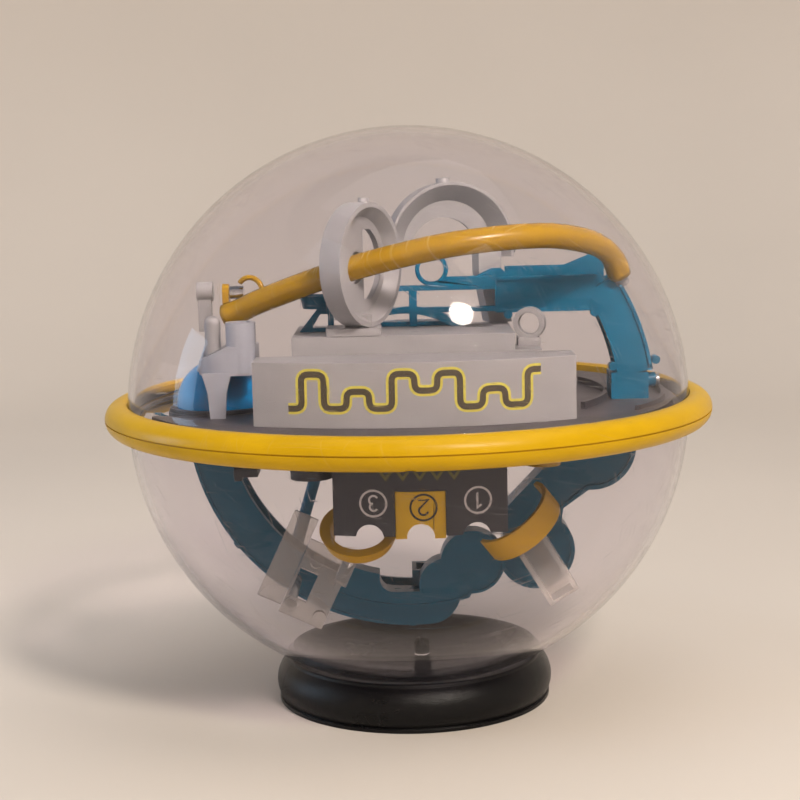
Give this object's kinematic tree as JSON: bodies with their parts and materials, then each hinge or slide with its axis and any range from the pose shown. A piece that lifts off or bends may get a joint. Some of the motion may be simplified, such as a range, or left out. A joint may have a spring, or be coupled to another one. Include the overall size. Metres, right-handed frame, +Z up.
{
  "type": "tilt maze game",
  "caption": "Clear globe with a yellow ring round its equator and a raised coloured ball maze inside, resting in a loose round black stand.",
  "frame": {"origin": "On the table, under the centre of the globe, at the bottom centre of the bounding box.", "axes": "+Z up. The globe stands with its ring level. The front panel and the numbered starts face -Y, towards the player; the player's right is +X."},
  "size_m": [0.216, 0.216, 0.206],
  "materials": {
    "clear_plastic": "polished clear plastic with fine scratches",
    "ring_yellow": "glossy moulded yellow",
    "rail_yellow": "satin moulded amber yellow",
    "panel_yellow": "satin moulded yellow",
    "blue": "satin moulded blue",
    "light_grey": "fine-grained light grey",
    "tower_white": "fine-grained pale grey",
    "dark_grey": "fine-grained dark grey",
    "stand_black": "satin black, lightly grained",
    "screw_steel": "small zinc-plated screws",
    "steel": "polished steel"
  },
  "bodies": {
    "stand": {"stand": "stand_black"},
    "globe": {"upper_dome": "clear_plastic", "lower_dome": "clear_plastic", "ring_upper": "ring_yellow", "ring_lower": "ring_yellow", "ring_screws": "screw_steel", "deck": "dark_grey", "front_panel": "light_grey", "tier_housing": "light_grey", "loop_plinth": "light_grey", "loop_drum": "light_grey", "loop_arch": "light_grey", "balance_rail": "rail_yellow", "rail_end_pin": "light_grey", "rail_bracket": "rail_yellow", "rail_handle": "rail_yellow", "bracket_pin": "steel", "left_tower": "tower_white", "tower_post": "light_grey", "tower_knob": "light_grey", "blue_bell": "blue", "bell_pedestal": "dark_grey", "bridge": "blue", "bridge_screw": "screw_steel", "lattice": "blue", "oval_cup": "light_grey", "catch_cup": "blue", "catch_stand": "blue", "start_block": "dark_grey", "start_panel": "panel_yellow", "funnel_ring": "ring_yellow", "half_hoop": "rail_yellow", "clear_strip": "clear_plastic", "clear_frame": "clear_plastic", "clear_box": "clear_plastic", "arc_channel": "blue", "scallop_track": "blue", "lobe_track": "blue", "cross_brace": "blue", "under_shelf": "dark_grey", "under_boss": "dark_grey", "pocket_pad": "rail_yellow", "rear_stairs": "light_grey", "rear_channel": "blue", "rear_gate": "ring_yellow", "rear_bowl": "dark_grey"},
    "ball": {"steel_ball": "steel"}
  },
  "joints": [
    {"name": "globe_lift", "type": "slide", "parent": "stand", "child": "globe", "axis": [0, 0, 1], "range_m": [0, 0.03]},
    {"name": "ball_roll", "type": "hinge", "parent": "globe", "child": "ball", "pos_m": [0, 0, 0.106], "axis": [0, 1, 0], "range_deg": [-6, 75]}
  ]
}
